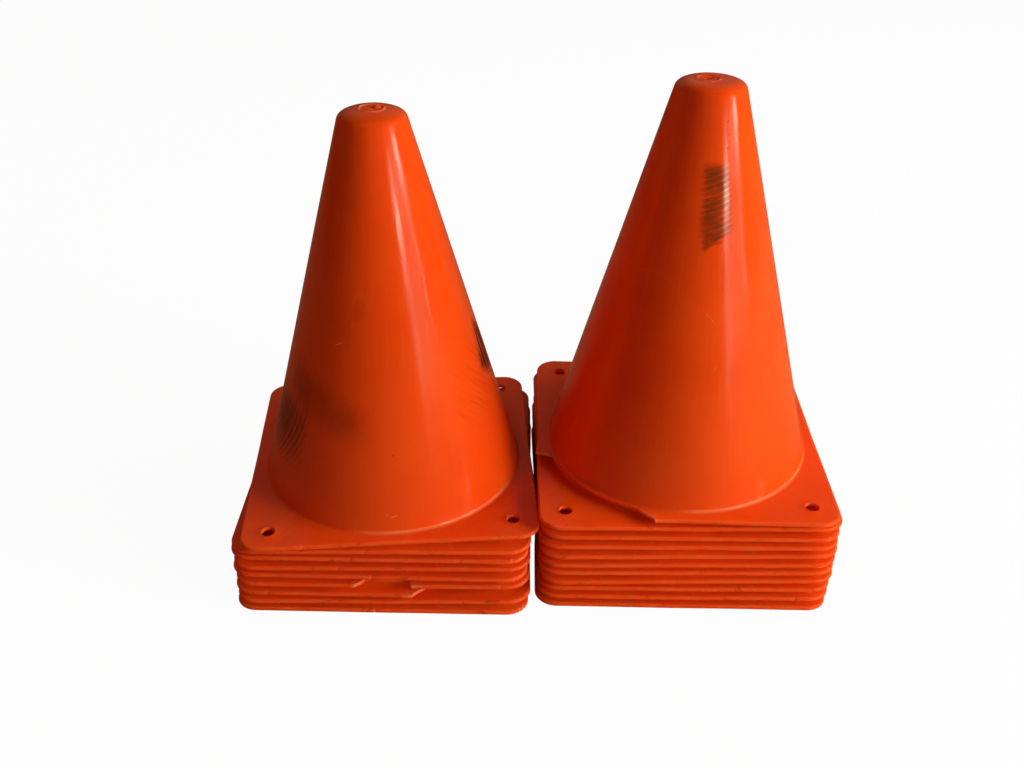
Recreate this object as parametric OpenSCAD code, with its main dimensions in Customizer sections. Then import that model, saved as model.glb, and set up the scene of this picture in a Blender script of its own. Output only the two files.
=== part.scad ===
// Two stacks of nested marker cones: nine in the left stack and eleven in the right one.
// Each cone is one moulding: a thin square plate with four corner holes, and a hollow cone on it.
// A cone in a stack hangs on the wall of the cone below it, so the rise from one plate to the
// next follows from the wall, the slope and the clearance between the walls.
// X runs along the row of two stacks, Y away from the front and Z up.
// The origin is the centre of the whole set's box, on the ground.

/* [Base plate] */
// Side of the square plate
plate_w = 140; // [120:1:180]
// Thickness of the plate
plate_t = 1.7; // [1.2:0.1:2.4]
// Radius of the plate's four corners
corner_r = 10.5; // [6:0.5:16]
// Distance from a hole's centre to the two nearest edges of the plate
hole_inset = 12.5; // [9:0.5:15]
// Diameter of the corner holes
hole_d = 6; // [4:0.5:8]

/* [Cone] */
// Height from the underside of the plate to the flat top
cone_h = 182.7; // [150:0.5:220]
// Flat border between the foot of the cone and the edge of the plate
foot_border = 6.2; // [4:0.2:9]
// Diameter of the cone at its top, before the edge is rounded
top_d = 27.7; // [22:0.1:36]
// Wall thickness of the cone
wall = 1.1; // [0.9:0.05:1.5]
// Thickness of the closed top
top_t = 1.8; // [1.4:0.1:2.4]
// Radius of the rounded edge at the top
top_round = 4; // [2.5:0.25:5]
// Radius of the fillet where the cone meets the plate
foot_round = 1.2; // [0.6:0.1:2]
// Chamfer round the mouth, on the underside
mouth_chamfer = 0.4; // [0.2:0.1:0.6]

/* [Gate mark] */
// Outer diameter of the raised ring on the top
ring_d = 12.4; // [8:0.2:14]
// Width of the ring
ring_w = 0.9; // [0.5:0.1:1.5]
// Height of the ring
ring_h = 0.5; // [0.3:0.1:0.8]
// Diameter of the nub inside the ring, on the left stack's cones
nub_d = 3.6; // [2:0.2:5]
// Height of the nub above the flat top
nub_h = 1.2; // [0.6:0.1:1.6]
// Distance of the nub from the axis
nub_off = 2.2; // [0:0.1:3]
// Diameter of the dimple inside the ring, on the right stack's cones
dimple_d = 2.6; // [1.5:0.1:4]
// Depth of the dimple
dimple_deep = 0.7; // [0.3:0.1:0.9]

/* [Stacks] */
// Clearance between the walls of two nested cones, measured square to the wall
nest_gap = 0.32; // [0.2:0.02:0.6]
// Gap between the two stacks where the turned top plate of the left one comes closest
stack_gap = 0.3; // [0.3:0.1:20]
// How far the right stack stands behind the left one
stagger = 6.2; // [0:0.1:15]

/* [Hidden] */
$fn = 96;
// Extra length that carries a cut past the surface it opens
overrun = 1;
// Lip that a broken plate leaves round the foot of its cone
break_lip = 0.5;
// Turn of each plate about its stack's axis in degrees, from the bottom cone up
left_turns = [0, 1, -0.5, 0.5, -0.5, 0.8, 0, 1, 4.8];
right_turns = [0, 0.6, 0.6, 1.7, 1.1, 1.3, 1.5, 0.8, 0.6, 1, -0.9];
// Outlines of the pieces broken off three plates, as shares of half the plate's side
notch_shares = [[-0.19, -1.1], [-0.18, -1], [-0.09, -0.91], [-0.05, -0.8], [0.16, -0.8],
    [0.175, -0.93], [0.19, -1], [0.19, -1.1]];
strip_shares = [[0.19, -1.1], [0.195, -1], [0.27, -0.92], [0.31, -0.86], [0.4, -0.6], [0.7, -0.4],
    [0.83, -0.39], [0.9, -0.36], [1, -0.35], [1.1, -0.34], [1.1, -1.1]];
corner_shares = [[-1.1, -0.26], [-1, -0.27], [-0.93, -0.29], [-0.868, -0.324], [-0.7, -0.33],
    [-0.35, -0.7], [-0.405, -0.83], [-0.33, -0.89], [-0.28, -0.934], [-0.22, -0.99],
    [-0.2, -1.1], [-1.1, -1.1]];
// Places in the stacks, counted from 0 at the bottom, of the cones with a broken plate
notched_level = 3;
stripped_level = 2;
cornerless_level = 10;

half_w = plate_w / 2;
hole_at = half_w - hole_inset;
foot_r = half_w - foot_border;
top_r = top_d / 2;
// Depth to which the gate ring and the nub are rooted in the closed top
gate_root = top_t / 2;
// The cone's side leans in by this angle from the upright
lean = atan((foot_r - top_r) / (cone_h - plate_t));
nest_pitch = (wall + nest_gap) / sin(lean);

// Distance from the axis to the side's line, measured square to the line
side_line = top_r * cos(lean) + cone_h * sin(lean);
// Radius at height z of a line that runs parallel to the side, inset from it
function line_r(z, inset) = (side_line - inset - z * sin(lean)) / cos(lean);

// Furthest reach along X or Y of a plate turned by some angle
function reach(turn) = (half_w - corner_r) * (cos(turn) + abs(sin(turn))) + corner_r;
left_reach = max([for (turn = left_turns) reach(turn)]);
right_reach = max([for (turn = right_turns) reach(turn)]);
stack_run = left_reach + half_w + stack_gap;
// The shift that brings the whole set's box to the origin
box_x = (left_reach - right_reach) / 2;
box_y = -(min(-stagger / 2 - left_reach, stagger / 2 - right_reach)
    + max(-stagger / 2 + left_reach, stagger / 2 + right_reach)) / 2;
left_axis = [box_x - stack_run / 2, box_y - stagger / 2];
right_axis = [box_x + stack_run / 2, box_y + stagger / 2];

// Square plate with round corners and four holes
module plate() {
    linear_extrude(plate_t)
    difference() {
        union() {
            square([plate_w, plate_w - 2 * corner_r], center = true);
            square([plate_w - 2 * corner_r, plate_w], center = true);
            for (x = [-1, 1], y = [-1, 1])
                translate([x, y] * (half_w - corner_r)) circle(corner_r);
        }
        for (x = [-1, 1], y = [-1, 1])
            translate([x, y] * hole_at) circle(d = hole_d);
    }
}

// Half section of the solid cone, with its rounded top edge and its fillet on the plate
module outer_section() {
    fillet_z = plate_t + foot_round;
    fillet_r = line_r(fillet_z, -foot_round);
    edge_z = cone_h - top_round;
    edge_r = line_r(edge_z, top_round);
    difference() {
        union() {
            polygon([
                [0, 0],
                [fillet_r, 0],
                [fillet_r, fillet_z],
                [fillet_r - foot_round * cos(lean), fillet_z - foot_round * sin(lean)],
                [edge_r + top_round * cos(lean), edge_z + top_round * sin(lean)],
                [edge_r, edge_z],
                [edge_r, cone_h],
                [0, cone_h]
            ]);
            translate([edge_r, edge_z]) circle(top_round);
        }
        translate([fillet_r, fillet_z]) circle(foot_round);
    }
}

// Half section of the hollow inside the cone, open at the plate's underside
module inner_section() {
    round_r = top_round - wall;
    ceiling = cone_h - top_t;
    edge_z = ceiling - round_r;
    edge_r = line_r(edge_z, wall + round_r);
    polygon([
        [0, -overrun],
        [line_r(0, wall) + mouth_chamfer + overrun, -overrun],
        [line_r(0, wall) + mouth_chamfer, 0],
        [line_r(mouth_chamfer, wall), mouth_chamfer],
        [edge_r + round_r * cos(lean), edge_z + round_r * sin(lean)],
        [edge_r, edge_z],
        [edge_r, ceiling],
        [0, ceiling]
    ]);
    translate([edge_r, edge_z]) circle(round_r);
}

// Raised ring that the mould leaves round the gate
module gate_ring() {
    translate([0, 0, cone_h - gate_root])
    linear_extrude(gate_root + ring_h)
    difference() {
        circle(d = ring_d);
        circle(d = ring_d - 2 * ring_w);
    }
}

// One cone as it leaves the mould, standing on the ground with its axis on Z
module moulded_cone() {
    difference() {
        union() {
            plate();
            rotate_extrude() outer_section();
        }
        rotate_extrude() inner_section();
    }
    gate_ring();
}

// Stump of plastic left inside the ring
module gate_nub() {
    translate([nub_off, 0, cone_h - gate_root]) cylinder(h = gate_root + nub_h, d = nub_d);
}

// Dimple inside the ring
module gate_dimple() {
    translate([0, 0, cone_h - dimple_deep]) cylinder(h = dimple_deep + overrun, d = dimple_d);
}

// The piece missing from a broken plate: it reaches in to the foot of the cone
module missing_piece(shares) {
    translate([0, 0, -overrun])
    linear_extrude(plate_t + foot_round + 2 * overrun)
    difference() {
        polygon(shares * half_w);
        circle(foot_r + break_lip);
    }
}

module left_cone(level) {
    color("orangered")
    translate([left_axis.x, left_axis.y, level * nest_pitch])
    rotate(left_turns[level])
    union() {
        difference() {
            moulded_cone();
            if (level == notched_level) missing_piece(notch_shares);
            if (level == stripped_level) missing_piece(strip_shares);
        }
        gate_nub();
    }
}

module right_cone(level) {
    color("orangered")
    translate([right_axis.x, right_axis.y, level * nest_pitch])
    rotate(right_turns[level])
    difference() {
        moulded_cone();
        gate_dimple();
        if (level == cornerless_level) missing_piece(corner_shares);
    }
}

left_cone(0);  // left_cone_01
left_cone(1);  // left_cone_02
left_cone(2);  // left_cone_03
left_cone(3);  // left_cone_04
left_cone(4);  // left_cone_05
left_cone(5);  // left_cone_06
left_cone(6);  // left_cone_07
left_cone(7);  // left_cone_08
left_cone(8);  // left_cone_09
right_cone(0);  // right_cone_01
right_cone(1);  // right_cone_02
right_cone(2);  // right_cone_03
right_cone(3);  // right_cone_04
right_cone(4);  // right_cone_05
right_cone(5);  // right_cone_06
right_cone(6);  // right_cone_07
right_cone(7);  // right_cone_08
right_cone(8);  // right_cone_09
right_cone(9);  // right_cone_10
right_cone(10);  // right_cone_11
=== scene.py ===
"""Detailed looks for two stacks of nested marker cones.

Each cone is one thin moulding: a square plate with round corners and four holes, and a hollow
cone with a closed top. Every packed cone is replaced by a finer mesh of its own, with rounded
and worn edges, raised hole rims, a slightly warped plate, a gate mark and torn breaks, and it
moves with the body of the cone that it stands for.
"""

import random
from math import acos, atan, cos, exp, hypot, pi, radians, sin, sqrt

import bpy
import numpy as np
from bpy.props import FloatProperty, FloatVectorProperty, PointerProperty
from mathutils import Euler, Matrix, Vector, noise
from mathutils.geometry import delaunay_2d_cdt


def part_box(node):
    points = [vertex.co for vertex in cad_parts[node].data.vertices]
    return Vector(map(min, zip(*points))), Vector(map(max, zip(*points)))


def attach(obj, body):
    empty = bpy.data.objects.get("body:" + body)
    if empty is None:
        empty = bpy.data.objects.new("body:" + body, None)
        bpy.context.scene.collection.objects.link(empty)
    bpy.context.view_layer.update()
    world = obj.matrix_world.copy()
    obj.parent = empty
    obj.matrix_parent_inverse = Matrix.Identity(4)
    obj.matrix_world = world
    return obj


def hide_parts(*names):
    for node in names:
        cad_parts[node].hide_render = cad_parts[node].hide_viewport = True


bl_info = {
    "name": "Stacked marker cones",
    "version": (1, 0, 0),
    "blender": (4, 5, 0),
    "location": "3D View > Sidebar > Cones",
    "description": "Builds two stacks of nested marker cones around their packed solids",
    "category": "Object",
}

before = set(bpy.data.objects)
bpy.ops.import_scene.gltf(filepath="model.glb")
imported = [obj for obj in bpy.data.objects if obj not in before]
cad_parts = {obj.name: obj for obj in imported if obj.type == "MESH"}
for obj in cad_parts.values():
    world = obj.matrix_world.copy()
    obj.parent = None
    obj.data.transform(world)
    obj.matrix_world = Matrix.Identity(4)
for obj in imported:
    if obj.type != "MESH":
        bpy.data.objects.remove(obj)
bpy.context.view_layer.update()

MM = 0.001
STACKS = {
    "left": [f"left_cone_{place:02d}" for place in range(1, 10)],
    "right": [f"right_cone_{place:02d}" for place in range(1, 12)],
}
# Turn of each plate about its stack's axis in degrees, from the bottom cone up
TURNS = {
    "left": (0, 1, -0.5, 0.5, -0.5, 0.8, 0, 1, 4.8),
    "right": (0, 0.6, 0.6, 1.7, 1.1, 1.3, 1.5, 0.8, 0.6, 1, -0.9),
}
# How far each plate's corners are bent up, in millimetres: front left, front right and, where it
# shows, back right and back left
BENDS = {
    "left": ((0.5, 0), (0.8, 0.6), (-0.5, -0.7), (0.4, -0.1), (0.1, -0.1), (0.2, 0), (0.3, 0.2),
             (-0.3, -0.5, 2.4, 0.3), (-1.1, 0.5, 2.1, 0.9)),
    "right": ((0.5, 0.2), (0.7, 0.3), (0.8, 0.5), (0, 0), (0.1, 0.1), (-0.5, -0.6), (-0.5, -0.6),
              (-0.1, -0.4), (0.2, -0.4), (0.7, 0.3, 0, 2.2), (-0.4, -0.8, 0.2, 1)),
}
# How far each stack's plates are pulled out to the right at the same four corners, in millimetres
SPREADS = {"left": (-0.9, 0.3, 0.7, -0.9), "right": (-1.5, 1.0, 0.5, -2)}
# Plates that are pulled out otherwise
OWN_SPREADS = {"left_cone_01": (-1.7, 0.3, 0.7, -0.9), "left_cone_02": (-1.7, 0.3, 0.7, -0.9),
               "left_cone_09": (0.3, 0.7, 0.9, -0.9), "right_cone_09": (-0.1, 1.0, 0.5, -2)}
# How far a cone's front left hole is set off its place, in millimetres
OWN_HOLES = {"left_cone_09": (0.5, -0.8)}
# How each stack's cones differ from the nominal ones, in millimetres: how much wider, how far to the
# right and how much higher they are, the radii of the dome and of the gate ring, and the gate's place
HABITS = {
    "left": {"wider": 0.4, "aside": 0.5, "higher": -0.45, "dome": 17, "ring": 6.2, "gate": (0, 0)},
    "right": {"wider": 0.75, "aside": -0.3, "higher": 0.95, "dome": 11, "ring": 5.6, "gate": (-1.2, 1.0)},
}
# Outlines of what is broken off three plates, as shares of half the plate's side
BREAK_SHARES = {
    "left_cone_04": ((-0.19, -1.1), (-0.18, -1), (-0.09, -0.91), (-0.05, -0.8), (0.17, -0.8),
                     (0.187, -0.93), (0.202, -1), (0.202, -1.1)),
    "left_cone_03": ((0.211, -1.1), (0.217, -1), (0.295, -0.92), (0.33, -0.86), (0.4, -0.6),
                     (0.7, -0.4), (0.83, -0.39), (0.9, -0.36), (1, -0.35), (1.1, -0.34), (1.1, -1.1)),
    "right_cone_11": ((-1.1, -0.26), (-1, -0.27), (-0.93, -0.29), (-0.868, -0.324), (-0.7, -0.33),
                      (-0.35, -0.7), (-0.405, -0.83), (-0.33, -0.89), (-0.28, -0.934),
                      (-0.22, -0.99), (-0.2, -1.1), (-1.1, -1.1)),
}
# Width of the lip that stays round the foot of a cone with a broken plate, in millimetres
BREAK_LIP = 0.45
# The shoulder of a cone turns tightly up to this angle
SHOULDER_TURN = radians(64)
# Least radius of the cap with the gate mark, in millimetres
LEAST_CAP = 8.2

# How finely a cone is cut, and how deep its dents are in millimetres. A nested cone shows little
# more than its plate's edge.
TOP_CUT = {"segments": 160, "side_steps": 26, "gate_rings": 26, "dents": 0.09}
NESTED_CUT = {"segments": 112, "side_steps": 9, "gate_rings": 14, "dents": 0}
# Points along a straight part of the plate's edge, round one of its corners and round a hole
STRAIGHT_POINTS = 24
CORNER_POINTS = 10
HOLE_POINTS = 24
# Radii of the rings of points round a hole, past its own, in millimetres
HOLE_RINGS = (0.35, 0.75, 1.3)
# Distance between the points that let the flat plate bend, and how far they keep from the plate's
# edge, its corners, the cone's foot, the holes and a break, in millimetres
PLATE_GRID = 4.2
OFF_EDGE = 4
OFF_CORNER = 2.6
OFF_FOOT = 4
OFF_HOLE = 3
OFF_BREAK = 1.6

# How an edge is rounded, in millimetres: how far in and how far down above, and its radius below
TORN_EDGE = (0.14, 0.14, 0.14)
HOLE_EDGE = (0.3, 0.35, 0.3)
# The same of the plate's worn outer edge, as shares of the edge's rounding
WORN_EDGE_SHARES = (1.8, 2.6, 0.36)
# Distance between the points of a torn edge and how far it wanders, in millimetres
TORN_STEP = 1.3
TORN_WANDER = 0.55
# How far a plate is warped by chance, and how high a hole's rim is raised, in millimetres
WARP = 0.14
RIM_HEIGHT = 0.32
# A corner's bend is whole where it lies this far past half the plate's side, in millimetres
BEND_REACH = 6
# How far up from the plate and down from the top the dents grow to their full depth, in millimetres
DENTS_ABOVE_FOOT = 15
DENTS_BELOW_TOP = 12
# Steps over a rounded edge, as shares of its rounding: how far in and how far down
EDGE_STEPS = ((1, 0), (0.5, 0.134), (0.134, 0.5), (0, 1))
# How much of an edge's wear and of a break's whitening reaches on to the plate's faces
FACE_WEAR = 0.2
FACE_TORN = 0.3
# Faces that meet at more than this angle keep a sharp edge
SHARP_ANGLE = radians(55)

# How far light spreads in the plastic, in metres and as shares for red, green and blue
SPREAD_DEPTH = 3.5 * MM
SPREAD_SHARES = (1.0, 0.22, 0.06)
# How strongly the plastic's fine bumps show, and how high they are in metres
BUMP_STRENGTH = 0.35
BUMP_HEIGHT = 0.12 * MM
# How strongly plastic bends light
PLASTIC_IOR = 1.5

# How far the lamps stand from the middle of the set, and how high that is, in metres
LAMP_AWAY = 1.6
LAMP_AIM = Vector((0, 0, 0.09))
# A window or a fill only lights the cones, and a pane also shows in their gloss. For each lamp: azimuth
# to the right of the front and elevation in degrees, width and height in metres, and share of the light
LAMPS = (
    ("window_wide", 71, 19, 0.75, 0.36, 0.325),
    ("window_right", 93, 28, 0.5, 0.7, 0.165),
    ("window_left", 57, 20, 0.5, 0.5, 0.18),
    ("fill_front", 2, 24, 0.7, 0.6, 0.064),
    ("window_high", 120, 60, 0.9, 0.7, 0.03),
    ("fill_back_left", -112, 26, 1.6, 1.3, 0.09),
    ("pane_strip", 57, 11.2, 0.9, 0.1, 0.02),
    ("pane_low", 52, 2.6, 0.7, 0.26, 0.019),
    ("pane_left", 42.5, 10.4, 0.07, 0.12, 0.027),
    ("pane_edge", 43.5, 3.5, 0.03, 0.3, 0.004),
    ("pane_right", 68.5, 12.9, 0.2, 0.11, 0.04),
    ("pane_line", 69, 5, 0.025, 0.32, 0.008),
    ("pane_back", 180, 32, 1.8, 0.9, 0.011),
)
# Daylight in the windows, the warm room that fills the shade, and what the gloss mirrors
LAMP_COLOURS = {"window": (0.9, 1, 1), "fill": (1, 0.7, 0.55), "pane": (1, 0.95, 0.74)}
# The room's warm light, and its share in front of the cones and behind them
ROOM_COLOUR = (1, 0.48, 0.26, 1)
ROOM_FRONT = 0.25
ROOM_BACK = 2.2
# The floor's colour where it lights the cones from below
FLOOR_BOUNCE = (0.34, 0.18, 0.1)
# How much of the floor's look is plain white, which leaves a faint shadow
FLOOR_WHITE = 0.96
# Half the floor's side in metres, and how far it lies below the plates in millimetres
FLOOR_HALF = 8.0
FLOOR_DROP = 0.02

# Where the camera stands in millimetres, and how it is turned in degrees
CAMERA_AT = Vector((-3.553, -438.549, 359.297))
CAMERA_PITCH = 31.865
CAMERA_YAW = 0.848
CAMERA_ROLL = 0.312
SENSOR_WIDTH = 36


def rest_box(node):
    """Lowest and highest corner of a packed cone at rest, in metres."""
    low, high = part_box(node)
    return Vector(low), Vector(high)


BOTTOM_LOW, BOTTOM_HIGH = rest_box(STACKS["right"][0])
GATE_RING_HEIGHT = 0.5 * MM


def length_property(name, description, metres):
    return FloatProperty(name=name, description=description, default=metres, unit="LENGTH")


def share_property(name, description, value):
    return FloatProperty(name=name, description=description, default=value, min=0, max=1, subtype="FACTOR")


def colour_property(name, description, value):
    return FloatVectorProperty(name=name, description=description, default=value, subtype="COLOR", size=3,
                               min=0, max=1)


class ConeSizes(bpy.types.PropertyGroup):
    """Sizes of one moulding."""

    plate_side: length_property(
        "Plate side", "Side of the square plate", BOTTOM_HIGH.x - BOTTOM_LOW.x)
    thickness: length_property("Plate thickness", "Thickness of the plate", 1.7 * MM)
    corner_radius: length_property("Corner radius", "Radius of the plate's corners", 10.5 * MM)
    hole_inset: length_property("Hole inset", "From a hole's centre to the two nearest edges", 12.5 * MM)
    hole_diameter: length_property("Hole diameter", "Diameter of the corner holes", 6 * MM)
    height: length_property(
        "Height", "From the plate's underside to the flat top",
        BOTTOM_HIGH.z - BOTTOM_LOW.z - GATE_RING_HEIGHT)
    foot_border: length_property(
        "Foot border", "Flat border between the cone's foot and the plate's edge", 6.2 * MM)
    top_diameter: length_property(
        "Top diameter", "Diameter at the top, before its edge is rounded", 27.7 * MM)
    wall: length_property("Wall", "Wall thickness", 1.1 * MM)
    top_thickness: length_property("Top thickness", "Thickness of the closed top", 1.8 * MM)
    rounding: length_property("Top rounding", "Radius of the rounded edge at the top", 4 * MM)
    fillet: length_property("Foot fillet", "Radius where the cone meets the plate", 1.2 * MM)
    chamfer: length_property(
        "Mouth chamfer", "Chamfer round the mouth, on the underside", 0.4 * MM)
    edge_rounding: length_property("Edge rounding", "Radius of the plate's worn edge", 0.5 * MM)


class PlasticLook(bpy.types.PropertyGroup):
    """Colours and finish of the plastic."""

    colour: colour_property("Colour", "The plastic as moulded", (0.9, 0.072, 0.005))
    deep: colour_property("Deep colour", "Where the plastic is thicker or more worn", (0.8, 0.046, 0.002))
    rubbed: colour_property("Rubbed colour", "Where edges are rubbed paler", (0.95, 0.13, 0.028))
    # Also painted as highlights: the pale line round a top cone's foot and the glints in the comb scuff
    whitened: colour_property(
        "Whitened colour", "Stretched plastic along breaks and nicks", (0.95, 0.24, 0.09))
    flow: colour_property(
        "Flow line colour", "Pale lines where the plastic ran in the mould", (0.95, 0.13, 0.025))
    scuff: colour_property("Scuff colour", "Rubber and dirt rubbed into the side", (0.1, 0.024, 0.007))
    streak: colour_property("Streak colour", "Black streaks in the darkest scuff", (0.012, 0.006, 0.005))
    grime: colour_property("Grime colour", "Thin brown dirt that dulls the orange", (0.24, 0.03, 0.004))
    shine: share_property("Shine", "Strength of the plain reflection", 0.32)
    glow: share_property("Glow", "Share of the light that spreads inside the plastic", 0.5)
    roughness: share_property("Roughness", "Gloss of the clean plastic", 0.13)


class StageLook(bpy.types.PropertyGroup):
    """Floor, lamps and camera."""

    floor_colour: colour_property("Floor", "Colour of the floor", (0.9, 0.9, 0.9))
    key_power: FloatProperty(
        name="Key light", description="Power of all the lamps together", default=48, unit="POWER")
    room_light: FloatProperty(
        name="Room light", description="Strength of the even light from all round", default=0.06, min=0)
    lens: FloatProperty(
        name="Lens", description="Focal length of the camera", default=36.576, unit="CAMERA")


# Geometry of one cone, in millimetres about its own axis


def inside(points, loop):
    """Which of the points lie inside a closed loop."""
    x, y = points[:, 0][:, None], points[:, 1][:, None]
    x1, y1 = loop[:, 0][None], loop[:, 1][None]
    x2, y2 = np.roll(x1, -1), np.roll(y1, -1)
    with np.errstate(divide="ignore", invalid="ignore"):
        crossed = ((y1 > y) != (y2 > y)) & (x < (x2 - x1) * (y - y1) / (y2 - y1) + x1)
    return crossed.sum(1) % 2 == 1


def gap_to(points, path):
    """Distance from each point to the nearest point of a path."""
    away = points[:, None] - path[None]
    return np.hypot(away[:, :, 0], away[:, :, 1]).min(1)


def circle(radius, count, centre=(0, 0)):
    turn = np.arange(count) * 2 * pi / count
    return np.stack([centre[0] + radius * np.cos(turn), centre[1] + radius * np.sin(turn)], 1)


def arc(centre, radius, start, stop, steps):
    turns = np.linspace(start, stop, steps + 1)
    return [(centre[0] + radius * cos(a), centre[1] + radius * sin(a)) for a in turns]


def between(low, high, steps):
    """Points that cut a straight line into equal steps, without its two ends."""
    shares = [step / steps for step in range(1, steps)]
    return [(low[0] + (high[0] - low[0]) * s, low[1] + (high[1] - low[1]) * s) for s in shares]


def clamp(value):
    return max(0, min(1, value))


def grain(x, y, scale, seed):
    """Smooth noise on a flat surface, about -1 to 1."""
    return noise.noise(Vector((x * scale, y * scale, seed)))


def torn_path(shares, half, seed):
    """The break's outline with a ragged edge of its own."""
    corners = [np.array(p) * half for p in shares]
    points = []
    for a, b in zip(corners, corners[1:] + corners[:1]):
        run = np.linalg.norm(b - a)
        count = max(1, int(run / TORN_STEP))
        across = np.array([-(b - a)[1], (b - a)[0]]) / max(run, 1e-9)
        for k in range(count):
            p = a + (b - a) * k / count
            points.append(p + across * grain(*p, 0.45, seed) * TORN_WANDER)
    return np.array(points)


class Moulding:
    """One cone's sizes in millimetres, what follows from them, and where the cone stands in metres."""

    def __init__(self, node, sizes):
        self.node = node
        self.side = node.split("_")[0]
        self.level = STACKS[self.side].index(node)
        self.seed = (self.level + 1) * 7.3 + (31 if self.side == "right" else 0)
        self.stand(*STACKS[self.side][:2])
        for name in sizes.__annotations__:
            setattr(self, name, getattr(sizes, name) / MM)
        for name, value in HABITS[self.side].items():
            setattr(self, name, value)
        self.half = self.plate_side / 2
        self.hole_at = self.half - self.hole_inset
        self.hole_r = self.hole_diameter / 2
        self.height += self.higher
        self.foot_r = self.half - self.foot_border + self.wider
        self.top_r = self.top_diameter / 2 + self.wider
        # The plate's edge runs straight on both sides of a face's middle, then round a quarter turn
        self.straight = self.half - self.corner_radius
        self.quarter = pi * self.corner_radius / 2
        self.face_run = 2 * self.straight + self.quarter
        self.lean = atan((self.foot_r - self.top_r) / (self.height - self.thickness))
        self.fillet_z = self.thickness + self.fillet
        self.fillet_r = self.side_r(self.fillet_z, -self.fillet)
        self.mouth_r = self.side_r(0, self.wall) + self.chamfer
        # The dome goes on from the shoulder to the flat top
        turn, lean = SHOULDER_TURN, self.lean
        fall = self.dome * (1 - sin(turn)) + self.rounding * (sin(turn) - sin(lean))
        self.flat_r = (self.side_r(self.height - fall) - self.dome * cos(turn)
                       - self.rounding * (cos(lean) - cos(turn)))
        self.cap_r = max(self.flat_r, LEAST_CAP)

    def stand(self, bottom, second):
        """Reads the stack's axis from its bottom cone, whose plate isn't turned, and each cone's rise."""
        low, high = rest_box(bottom)
        self.axis_x = (low.x + high.x) / 2
        self.axis_y = (low.y + high.y) / 2
        self.base_z = low.z + self.level * (rest_box(second)[0].z - low.z)

    def side_r(self, z, inset=0):
        """Radius at height z of a line that runs parallel to the side, inset from it."""
        line = self.top_r * cos(self.lean) + self.height * sin(self.lean)
        return (line - inset - z * sin(self.lean)) / cos(self.lean)

    def dome_drop(self, r):
        """How far the dome has dropped below the flat top at a radius."""
        past = max(0, r - self.flat_r)
        return self.dome - sqrt(self.dome ** 2 - past ** 2)

    def outer_profile(self, steps):
        """From the fillet up the side and over the shoulder to the edge of the cap."""
        turn = SHOULDER_TURN
        foot = arc((self.fillet_r, self.fillet_z), self.fillet, pi * 1.5, pi + self.lean, 4)
        dome = (self.flat_r, self.height - self.dome)
        step_in = self.dome - self.rounding
        shoulder = (dome[0] + step_in * cos(turn), dome[1] + step_in * sin(turn))
        stop = acos(min(1, (self.cap_r - self.flat_r) / self.dome))
        curve = arc(shoulder, self.rounding, self.lean, turn, 7) + arc(dome, self.dome, turn, stop, 5)[1:]
        return foot + between(foot[-1], curve[0], steps) + curve

    def inner_profile(self, steps):
        """From the mouth up the hollow to the edge of the ceiling."""
        rounding = self.rounding - self.wall
        edge_z = self.height - self.top_thickness - rounding
        edge_r = self.side_r(edge_z, self.wall + rounding)
        low = (self.side_r(self.chamfer, self.wall), self.chamfer)
        curve = arc((edge_r, edge_z), rounding, self.lean, pi / 2, 5)
        return [(self.mouth_r, 0), low] + between(low, curve[0], steps) + curve

    def edge_point(self, s):
        """Place and outward direction on the plate's edge, s millimetres on from the front left corner."""
        face, s = int(s // self.face_run), s % self.face_run
        if s <= 2 * self.straight:
            point, normal = (s - self.straight, -self.half), (0, -1)
        else:
            a = (s - 2 * self.straight) / self.corner_radius - pi / 2
            normal = (cos(a), sin(a))
            point = (self.straight + self.corner_radius * normal[0],
                     -self.straight + self.corner_radius * normal[1])
        for _ in range(face):
            point, normal = (-point[1], point[0]), (-normal[1], normal[0])
        return np.array(point), np.array(normal)

    def outline(self, nicks):
        """The plate's edge as a loop, with how deep each point is nicked. A nick is (place, depth, width):
        its place round the edge in millimetres from the middle of the front edge, to the right."""
        around = 4 * self.face_run

        def away(s, place):
            return abs((s - place + around / 2) % around - around / 2)

        places = []
        for face in range(4):
            start = face * self.face_run - self.straight
            places += [start + 2 * self.straight * k / STRAIGHT_POINTS for k in range(STRAIGHT_POINTS)]
            start += 2 * self.straight
            places += [start + self.quarter * k / CORNER_POINTS for k in range(CORNER_POINTS)]
        for place, _, width in nicks:
            places = [s for s in places if away(s, place) > width * 1.1]
            places += [place + width * k / 4 for k in range(-4, 5)]
        loop, depths = [], []
        for s in sorted((s + self.straight) % around - self.straight for s in places):
            point, normal = self.edge_point((s + self.straight) % around)
            depth = 0
            for place, deep, width in nicks:
                depth += deep * max(0, 1 - away(s, place) / width) ** 0.8
            loop.append(point - normal * depth)
            depths.append(depth)
        return np.array(loop), np.array(depths)

    def blend(self, corners, x, y):
        """Blends four corners' values, front left to back left, over the free part of the plate."""
        free = clamp((hypot(x, y) - self.fillet_r) / (self.half - self.fillet_r + BEND_REACH))
        free = free * (2 - free)
        u, v = (x / self.half + 1) / 2, (y / self.half + 1) / 2
        front_left, front_right, back_right, back_left = corners
        return free * ((1 - v) * ((1 - u) * front_left + u * front_right)
                       + v * ((1 - u) * back_left + u * back_right))

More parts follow.
